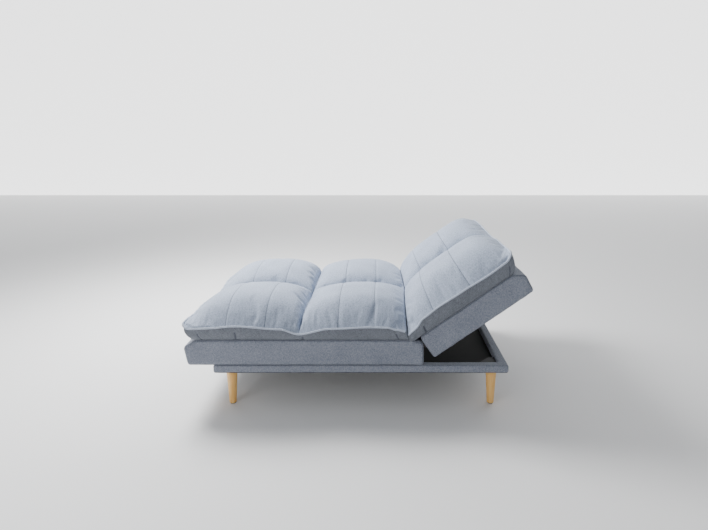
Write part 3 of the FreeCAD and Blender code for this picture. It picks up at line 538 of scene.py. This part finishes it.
def pillow_top(name, direction, spans, side_seam, end_seam, stitched, folds):
    """One pillow top, made with the bed flat. direction is -1 on the seat and 1 on the backrest.

    spans hold each row's ends, its crest, and how its two ends rise. side_seam and end_seam are heights of
    the piping above the panel. stitched are the lines across it, and folds the seams in its band.
    """
    x = stations((GROOVE, pillow_half), ACROSS_COUNT)
    x = np.concatenate((-x[::-1], [0], x))
    rows, rise = [], []
    for k, span in enumerate(spans):
        near, far_end, crest, near_press, far_kind = span
        start = near + (GROOVE if k else 0)
        finish = far_end - (GROOVE if k < len(spans) - 1 else 0)
        marks = [m for m in stitched if near < m < far_end]
        places = stations((start, finish), ALONG_COUNT, marks)
        toward = pressed_edge((places - start) / (crest - start), near_press)
        away = (finish - places) / (finish - crest)
        beyond = pressed_edge(away, far_kind) if far_kind < 1 else open_edge(away, far_kind)
        rise.append(np.where(places < crest, toward, beyond))
        rows.append(places)
        if k < len(spans) - 1:
            rows.append(np.array([far_end]))
            rise.append(np.array([far_kind]))
    along, rise = np.concatenate(rows), np.concatenate(rise)
    length = along[-1]
    grid_x, grid_l = np.meshgrid(x, along)
    side = eased(along, side_seam)[:, None] * np.ones_like(grid_x)
    end = eased(np.abs(grid_x), end_seam)
    first, second = SCALLOP_PER_METRE
    wave = np.sin(grid_x * first + SCALLOP_OFFSET) * np.sin(grid_x * second)
    end = end + END_SCALLOP * wave
    near_side = (np.abs(grid_x) / pillow_half) ** 6
    near_end = np.clip(along / length, 0, 1)[:, None] ** 24 * (1 - near_side)
    base = FLAT_SEAM * (1 - near_side) * (1 - near_end) + side * near_side + end * near_end
    near_corner = np.clip((grid_l - length) / CORNER_SINK_LENGTH + 1, 0, 1)
    to_corner = near_corner * np.clip(-grid_x / pillow_half, 0, 1) ** 3
    base = base - FAR_CORNER_DROP * to_corner**2
    press = spans[0][3]
    side_press = press * (1 - FOLD_SIDE_ROUNDING * (np.abs(grid_x) / pillow_half) ** 4)
    rounded_rise = 1 - (1 - rise[:, None]) * (1 - side_press) / (1 - press)
    rise = np.where((along < spans[0][2])[:, None], rounded_rise, rise[:, None])
    lift = across_rise(grid_x) * rise
    groove_x = (np.abs(grid_x) < GROOVE / 2).astype(float)
    groove_l = np.isin(along, [span[1] for span in spans[:-1]]).astype(float)[:, None] * np.ones_like(grid_x)
    height = base + (CROWN - base) * lift
    sink = np.maximum(groove_x, groove_l)
    height = height - sink * np.minimum(GROOVE_DEPTH, np.maximum(height - base, 0))
    # gathers that run in from the piping beside the corners and the dips
    out = (pillow_half - np.abs(grid_x)) / GATHER_IN
    off_end = np.minimum(np.abs(along - length), np.abs(along - GATHER_AT_FOLD))[:, None] / END_GATHER_SPREAD
    for span in spans[:-1]:
        off_end = np.minimum(off_end, np.abs(along - span[1])[:, None] / SEAM_GATHER_SPREAD)
    gather = np.exp(-(off_end**2)) * np.clip(out, 0, 1) * np.exp(-(out**2) * 0.5)
    height += GATHER * gather * np.sin(grid_l * GATHER_PER_METRE)

    def foot(px, pl):
        """Lower edge of the band under a place on the piping."""
        t = np.clip((pl - (length - END_LEAN_LENGTH)) / END_LEAN_LENGTH, 0, 1)
        return px * (1 - (SEAM_OVERHANG + BAND_INSET) / pillow_half), pl - END_BAND_LEAN * t * t * (3 - 2 * t)

    def placed(px, pl, ph):
        """Rounds the end's corners and leans the fold's end, then gives X, Y, Z."""
        a = 1 - (pillow_half - np.abs(px)) / CORNER_ROUNDING
        b = 1 - (length - pl) / CORNER_ROUNDING
        corner = (a > 0) & (b > 0)
        pull = np.where(corner, np.maximum(a, b) / np.maximum(np.hypot(a, b), 1e-6), 1.0)
        px = np.where(corner, np.sign(px) * (pillow_half - CORNER_ROUNDING * (1 - a * pull)), px)
        pl = np.where(corner, length - CORNER_ROUNDING * (1 - b * pull), pl)
        t = 1 - np.clip(pl / FOLD_REACH, 0, 1)
        shift = FOLD_SIDE_SHIFT * (np.abs(px) / pillow_half) ** 3
        pl = pl + (fold_lean * (ph + axis_depth) + FOLD_GAP - direction * shift) * t * t * (3 - 2 * t)
        return np.stack((px, REST_AXIS.y + direction * pl, panel_top + ph), -1)

    count_l, count_x = grid_x.shape
    points = [placed(grid_x, grid_l, height).reshape(-1, 3)]
    index = np.arange(count_l * count_x).reshape(count_l, count_x)
    ring = np.concatenate((index[:, -1], index[-1, -2::-1], index[-2::-1, 0], index[0, 1:-1]))
    ring_x, ring_l, ring_h = (values.ravel()[ring] for values in (grid_x, grid_l, height))
    on_fold = ring_l <= along[0] + 1e-9
    foot_x, foot_l = foot(ring_x, ring_l)
    rings = [ring]
    total = count_l * count_x
    for level in range(1, BAND_LEVELS + 1):
        t = level / BAND_LEVELS
        px, pl = ring_x + (foot_x - ring_x) * t, ring_l + (foot_l - ring_l) * t
        bulge = BAND_BULGE * math.sin(math.pi * t)
        px = px + bulge * np.sign(ring_x) * (np.abs(ring_x) > pillow_half - 1e-6)
        pl = pl + bulge * (ring_l > length - 1e-6)
        points.append(placed(px, pl, ring_h * (1 - t)))
        rings.append(np.arange(total, total + len(ring)))
        total += len(ring)
    faces = []
    for i in range(count_l - 1):
        for j in range(count_x - 1):
            faces.append((index[i, j], index[i, j + 1], index[i + 1, j + 1], index[i + 1, j]))
    top_faces = len(faces)
    for upper, lower in zip(rings, rings[1:]):
        for k in range(len(ring)):
            after = (k + 1) % len(ring)
            faces.append((upper[k], lower[k], lower[after], upper[after]))
    faces.append(tuple(rings[-1]))
    mesh = bpy.data.meshes.new(name)
    mesh.from_pydata([tuple(p) for p in np.concatenate(points)], [], [[int(v) for v in f] for f in faces])
    obj = bpy.data.objects.new(name, mesh)
    bpy.context.collection.objects.link(obj)
    mesh.materials.append(pillow_cloth)
    # the band's faces get the darker cloth that paints their shade
    mesh.materials.append(shaded_band_cloth)
    for k, face in enumerate(mesh.polygons):
        face.material_index = 0 if k < top_faces else 1
    # cloth map in metres, and the distance from the nearest stitched line
    down = [BAND_WIDTH_STEP * k for k in range(1, BAND_LEVELS + 1)]
    map_x = np.concatenate([grid_x.ravel()] + [ring_x + step for step in down])
    map_l = np.concatenate([grid_l.ravel()] + [ring_l + step for step in down])
    layer = mesh.uv_layers.new(name="cloth")
    corners = np.empty(len(mesh.loops), int)
    mesh.loops.foreach_get("vertex_index", corners)
    layer.data.foreach_set("uv", np.stack((map_x[corners], map_l[corners]), -1).astype(np.float32).ravel())
    lines = np.full((total, 3), 1.0, np.float32)
    nearest = np.min([np.abs(grid_l.ravel() - m) for m in stitched], axis=0)
    lines[: len(nearest), 0] = nearest
    lines[: len(nearest), 1] = grid_x.ravel()
    band_marks = [along[np.argmin(np.abs(along - m))] for m in folds]
    on_side = np.where(np.abs(ring_x) > pillow_half - 1e-6, 0.0, 1.0)
    for level in range(1, BAND_LEVELS + 1):
        lines[rings[level], 0] = np.min([np.abs(ring_l - m) for m in band_marks], axis=0) + on_side
        lines[rings[level], 1] = BAND_WIDTH_STEP * level
    lines[rings[1], 0] = 1.0
    mesh.attributes.new("seam", "FLOAT_VECTOR", "POINT").data.foreach_set("vector", lines.ravel())
    bm = bmesh.new()
    bm.from_mesh(mesh)
    bmesh.ops.recalc_face_normals(bm, faces=bm.faces)
    bm.to_mesh(mesh)
    bm.free()
    sewn = set(ring) | set(rings[-1]) | set(index[sink > 0])
    for level in rings:
        sewn |= set(level[on_fold])
    swollen(obj, sorted(sewn), FULLNESS, MOST_SWELL)
    # the stitched lines pull the cloth in
    co = np.empty(len(mesh.vertices) * 3)
    mesh.vertices.foreach_get("co", co)
    co = co.reshape(-1, 3)
    normal = np.empty(len(mesh.vertices) * 3)
    mesh.vertices.foreach_get("normal", normal)
    on_line = (lines[:, 0] < 1e-6)[:, None]
    co -= normal.reshape(-1, 3) * on_line * STITCH_SUNK
    mesh.vertices.foreach_set("co", co.ravel())
    piping_line = [Vector(co[k]) for k, folded in zip(ring, on_fold) if not folded]
    # the underside is one flat face, left off while the rest is made finer
    bm = bmesh.new()
    bm.from_mesh(mesh)
    bm.faces.ensure_lookup_table()
    bmesh.ops.delete(bm, geom=[bm.faces[-1]], context="FACES_ONLY")
    bm.to_mesh(mesh)
    bm.free()
    finer = obj.modifiers.new("finer", "SUBSURF")
    finer.levels = finer.render_levels = 1
    apply_modifiers(obj)
    bm = bmesh.new()
    bm.from_mesh(obj.data)
    bmesh.ops.holes_fill(bm, edges=[e for e in bm.edges if e.is_boundary])
    bmesh.ops.recalc_face_normals(bm, faces=bm.faces)
    bm.to_mesh(obj.data)
    bm.free()
    bpy.ops.object.shade_smooth()
    cord = bpy.data.curves.new(f"{name}_piping", "CURVE")
    cord.dimensions = "3D"
    line = cord.splines.new("POLY")
    line.points.add(len(piping_line) - 1)
    for point, place in zip(line.points, piping_line):
        point.co = (*place, 1)
    cord.bevel_depth = PIPING_RADIUS
    cord.bevel_resolution = 2
    cord.use_fill_caps = True
    piping = bpy.data.objects.new(f"{name}_piping", cord)
    bpy.context.collection.objects.link(piping)
    only(piping)
    bpy.ops.object.convert(target="MESH")
    piping = bpy.context.object
    bpy.ops.object.shade_smooth()
    piping.data.materials.append(highlit_piping_cloth)
    if direction > 0:
        tipped(obj)
        tipped(piping)
    return obj, piping


SPLIT = 0.620
SEAT_END = 1.227
BACK_END = 0.674
seat_rows = (
    (0.0, SPLIT, 0.300, FOLD_PRESS, MIDDLE_PRESS),
    (SPLIT, SEAT_END, 0.850, MIDDLE_PRESS, 3.5),
)
seat_side = (
    (0.0, 0.050),
    (0.05, 0.060),
    (0.11, 0.072),
    (0.25, 0.074),
    (0.46, 0.065),
    (SPLIT, 0.036),
    (0.72, 0.063),
    (0.95, 0.079),
    (1.10, 0.068),
    (1.19, 0.064),
    (SEAT_END, 0.076),
)
seat_end = ((0.0, 0.048), (0.26, 0.082), (0.46, 0.074), (0.568, 0.076))
back_rows = ((0.0, BACK_END, 0.340, FOLD_PRESS, 7.5),)
back_side = (
    (0.0, 0.050),
    (0.05, 0.056),
    (0.11, 0.078),
    (0.20, 0.084),
    (0.35, 0.080),
    (0.52, 0.073),
    (0.62, 0.076),
    (BACK_END, 0.092),
)
back_end = ((0.0, 0.060), (0.26, 0.096), (0.46, 0.088), (0.568, 0.092))
seat_top, seat_piping = pillow_top(
    "seat_pillows", -1, seat_rows, seat_side, seat_end, (0.216, 0.418, 0.798, 1.0), (0.06, 0.60, 0.95, 1.16)
)
back_top, back_piping = pillow_top(
    "backrest_pillows", 1, back_rows, back_side, back_end, (0.175, 0.405), (0.10, 0.64)
)

for piece, stored in (
    (seat_top, "seat_pillow_top"),
    (seat_piping, "seat_piping"),
    (back_top, "back_pillow_top"),
    (back_piping, "back_piping"),
):
    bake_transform(piece)
    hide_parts(stored)

# ---------------------------------------------------------------- legs
# Turned and tapered beech, clear lacquered, with hard plastic glides. The grain runs down the leg.


def plain_material(name, color, roughness, metallic=0.0):
    """Material with fine uneven colour and a fine grained surface."""
    material = bpy.data.materials.new(name)
    material.use_nodes = True
    tree = material.node_tree
    shader = tree.nodes["Principled BSDF"]
    place = tree.nodes.new("ShaderNodeTexCoord").outputs["Object"]
    noise = tree.nodes.new("ShaderNodeTexNoise")
    noise.inputs["Scale"].default_value = 240.0
    noise.inputs["Detail"].default_value = 4.0
    tree.links.new(place, noise.inputs["Vector"])
    ramp = tree.nodes.new("ShaderNodeValToRGB")
    ramp.color_ramp.elements[0].color = (*[c * 0.72 for c in color], 1)
    ramp.color_ramp.elements[1].color = (*[min(c * 1.22, 1) for c in color], 1)
    tree.links.new(noise.outputs["Fac"], ramp.inputs["Fac"])
    tree.links.new(ramp.outputs["Color"], shader.inputs["Base Color"])
    bump = tree.nodes.new("ShaderNodeBump")
    bump.inputs["Strength"].default_value = 0.2
    bump.inputs["Distance"].default_value = 0.0004
    tree.links.new(noise.outputs["Fac"], bump.inputs["Height"])
    tree.links.new(bump.outputs["Normal"], shader.inputs["Normal"])
    shader.inputs["Roughness"].default_value = roughness
    shader.inputs["Metallic"].default_value = metallic
    return material


def wood(name, pale, dark, gloss):
    """Planed or turned wood: stretched grain with fine pores."""
    material = bpy.data.materials.new(name)
    material.use_nodes = True
    tree = material.node_tree
    shader = tree.nodes["Principled BSDF"]
    place = tree.nodes.new("ShaderNodeTexCoord").outputs["Object"]
    stretch = tree.nodes.new("ShaderNodeMapping")
    stretch.inputs["Scale"].default_value = (1.0, 1.0, 0.06)
    tree.links.new(place, stretch.inputs["Vector"])
    grain = tree.nodes.new("ShaderNodeTexNoise")
    grain.inputs["Scale"].default_value = 95.0
    grain.inputs["Detail"].default_value = 5.0
    grain.inputs["Distortion"].default_value = 0.8
    pores = tree.nodes.new("ShaderNodeTexNoise")
    pores.inputs["Scale"].default_value = 900.0
    pores.inputs["Detail"].default_value = 2.0
    for texture in (grain, pores):
        tree.links.new(stretch.outputs["Vector"], texture.inputs["Vector"])
    ramp = tree.nodes.new("ShaderNodeValToRGB")
    ramp.color_ramp.elements[0].position = 0.32
    ramp.color_ramp.elements[1].position = 0.68
    ramp.color_ramp.elements[0].color = (*dark, 1)
    ramp.color_ramp.elements[1].color = (*pale, 1)
    tree.links.new(grain.outputs["Fac"], ramp.inputs["Fac"])
    tree.links.new(ramp.outputs["Color"], shader.inputs["Base Color"])
    bump = tree.nodes.new("ShaderNodeBump")
    bump.inputs["Strength"].default_value = 0.15
    bump.inputs["Distance"].default_value = 0.0003
    tree.links.new(pores.outputs["Fac"], bump.inputs["Height"])
    tree.links.new(bump.outputs["Normal"], shader.inputs["Normal"])
    shader.inputs["Roughness"].default_value = 0.42
    shader.inputs["Coat Weight"].default_value = gloss
    shader.inputs["Coat Roughness"].default_value = 0.25
    return material


leg_wood = wood("lacquered beech", (1.0, 0.62, 0.22), (0.90, 0.47, 0.115), 0.3)
frame_wood = wood("frame softwood", (0.72, 0.54, 0.33), (0.52, 0.36, 0.20), 0.0)

# ---------------------------------------------------------------- lining board and hidden parts
# A black lined board closes the base. The springs, felt, hinges and bolts are inside or underneath.

# The board is black; its near-zero colour also paints the shade inside the base.
lining_with_shade = plain_material("black lined board, with painted shade", (0.0025, 0.003, 0.0042), 0.9)
dust_cloth = plain_material("black dust cloth", (0.013, 0.013, 0.015), 0.9)
felt = plain_material("grey felt", (0.14, 0.13, 0.12), 0.95)
glide = plain_material("glide plastic", (0.02, 0.02, 0.02), 0.5)
spring_steel = plain_material("oiled spring steel", (0.12, 0.12, 0.125), 0.4, 1.0)
zinc = plain_material("zinc plated steel", (0.42, 0.42, 0.44), 0.35, 1.0)
# The hinge plates are coloured near black: painted shade in the gap between the seat and the backrest.
shaded_hinge_steel = plain_material("near-black hinge steel, painted shade", (0.022, 0.023, 0.026), 0.45)
shaded_corner_wood = plain_material("near-black softwood, painted shade", (0.016, 0.017, 0.020), 0.7)
black_paint = plain_material("black dipped clip", (0.015, 0.015, 0.015), 0.5)
hidden = {
    "leg_wood": leg_wood,
    "frame_wood": frame_wood,
    "black_board": lining_with_shade,
    "lining_cloth": dust_cloth,
    "felt": felt,
    "glide_plastic": glide,
    "spring_steel": spring_steel,
    "clip_steel": black_paint,
    "hinge_steel": shaded_hinge_steel,
    "bolt_steel": zinc,
}
for entry in frame["record"]["subparts"]:
    node = nodes[entry["node"]]
    if entry["material_slot"] in hidden:
        node.data.materials.clear()
        node.data.materials.append(hidden[entry["material_slot"]])
# The corner blocks are coloured near black: painted shade for the dark inside of the base.
nodes["corner_blocks"].data.materials[0] = shaded_corner_wood

# ---------------------------------------------------------------- studio
# A plain pale floor and a lit backdrop, with a large soft light overhead and a weak one beside the camera.

CAMERA_BEYOND = 2.482
CAMERA_HEIGHT = 1.443
CAMERA_ALONG = -0.200
CAMERA_PITCH = 7.4
CAMERA_SHIFT = (-0.0367, -0.0918)
FOCAL = 25.42
BACKDROP_GLOW = 2.2

bpy.ops.mesh.primitive_plane_add(size=1, location=(-3, 0, 0))
floor = bpy.context.object
floor.name = "floor"
floor.scale = (16, 24, 1)
bpy.ops.object.transform_apply(location=True, rotation=False, scale=True)
bpy.ops.mesh.primitive_plane_add(size=1, location=(-9, 0, 5), rotation=(0, math.radians(90), 0))
backdrop = bpy.context.object
backdrop.name = "backdrop"
backdrop.scale = (12, 30, 1)
bpy.ops.object.transform_apply(location=True, rotation=True, scale=True)
lit = bpy.data.materials.new("lit backdrop")
lit.use_nodes = True
glow = lit.node_tree.nodes["Principled BSDF"].inputs
glow["Base Color"].default_value = (0.9, 0.9, 0.9, 1)
glow["Emission Color"].default_value = (1, 1, 1, 1)
glow["Emission Strength"].default_value = BACKDROP_GLOW
backdrop.data.materials.append(lit)
pale = bpy.data.materials.new("pale floor")
pale.use_nodes = True
matt = pale.node_tree.nodes["Principled BSDF"].inputs
matt["Base Color"].default_value = (0.86, 0.86, 0.86, 1)
matt["Roughness"].default_value = 0.9
floor.data.materials.append(pale)


def soft_light(name, place, aim, size, power):
    data = bpy.data.lights.new(name, "AREA")
    data.shape = "SQUARE"
    data.size = size
    data.energy = power
    lamp = bpy.data.objects.new(name, data)
    lamp.location = place
    lamp.rotation_euler = (Vector(aim) - Vector(place)).to_track_quat("-Z", "Y").to_euler()
    bpy.context.collection.objects.link(lamp)


soft_light("overhead", (-1.0, -1.7, 2.7), (0, 0, 0.3), 1.3, 215)
soft_light("beside camera", (3.6, -2.6, 1.9), (0, 0, 0.4), 2.0, 38)

world = bpy.data.worlds.new("studio")
world.use_nodes = True
world.node_tree.nodes["Background"].inputs["Color"].default_value = (0.93, 0.96, 1.0, 1)
world.node_tree.nodes["Background"].inputs["Strength"].default_value = 0.42
bpy.context.scene.world = world

camera_data = bpy.data.cameras.new("camera")
camera_data.sensor_width = 36
camera_data.lens = FOCAL
camera_data.shift_x, camera_data.shift_y = CAMERA_SHIFT
camera = bpy.data.objects.new("camera", camera_data)
camera.location = (half_width + CAMERA_BEYOND, REST_AXIS.y + CAMERA_ALONG, CAMERA_HEIGHT)
camera.rotation_euler = (math.radians(90 - CAMERA_PITCH), 0, math.radians(90))
bpy.context.collection.objects.link(camera)
bpy.context.scene.camera = camera
